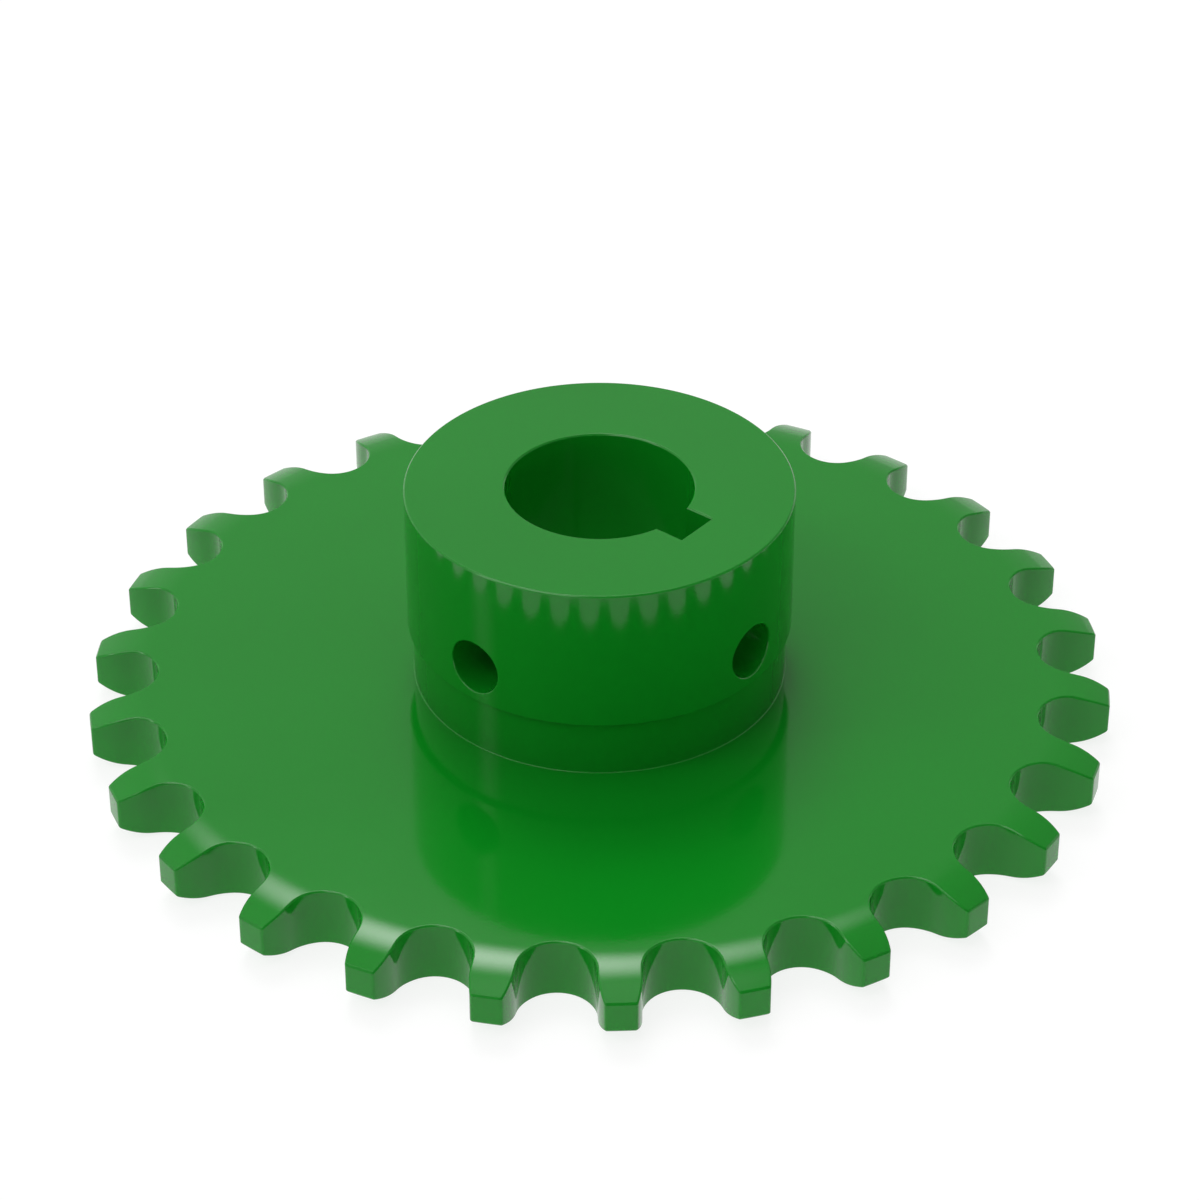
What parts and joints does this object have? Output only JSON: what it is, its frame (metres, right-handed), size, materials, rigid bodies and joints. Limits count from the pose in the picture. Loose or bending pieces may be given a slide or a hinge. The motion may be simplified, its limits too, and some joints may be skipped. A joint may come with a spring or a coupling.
{
  "type": "chain sprocket",
  "caption": "Roller-chain sprocket with a hub on one side, a keyed bore and set-screw holes through the hub.",
  "frame": {"origin": "where the bore's axis meets the flat back face", "axes": "+Z along the bore, from the back face to the hub's end face; +X through the middle of the keyway, which is the middle of a tooth space; the second set-screw hole points along -Y"},
  "size_m": [0.1396, 0.1402, 0.0374],
  "materials": {
    "green_paint": "gloss green enamel on machined steel"
  },
  "bodies": {
    "root": {"sprocket": "green_paint"}
  },
  "joints": []
}
